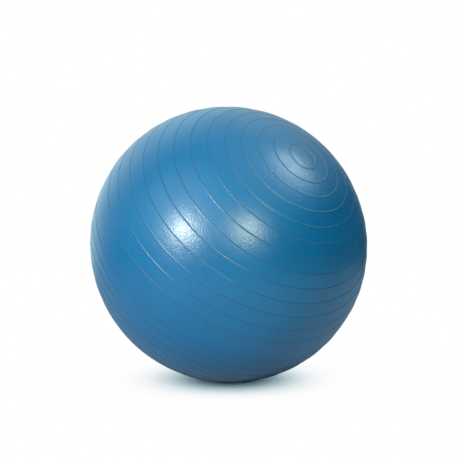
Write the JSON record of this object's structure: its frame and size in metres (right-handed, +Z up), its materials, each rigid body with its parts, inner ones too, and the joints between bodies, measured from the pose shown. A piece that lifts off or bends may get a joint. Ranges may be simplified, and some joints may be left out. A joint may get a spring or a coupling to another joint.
{
  "type": "exercise ball",
  "caption": "Inflated PVC exercise ball with thin raised grip ribs in rings, a flattened contact patch, and a bonded air valve with a pull-out plug.",
  "frame": {"origin": "on the floor, under the ball's centre, in the plane of the contact patch", "axes": "+Z up; the ball's ribbed upper pole leans towards +X and -Y, and the valve pole faces down towards -X and +Y"},
  "size_m": [0.648, 0.6482, 0.6406],
  "materials": {
    "skin_pvc": "satin",
    "valve_pvc": "satin",
    "plug_plastic": "satin"
  },
  "bodies": {
    "ball": {"ball_skin": "skin_pvc", "valve_body": "valve_pvc"},
    "plug": {"valve_plug": "plug_plastic"}
  },
  "joints": [
    {"name": "plug_pull", "type": "slide", "parent": "ball", "child": "plug", "axis": [-0.5331, 0.4683, -0.7046], "range_m": [0, 0.03]}
  ]
}
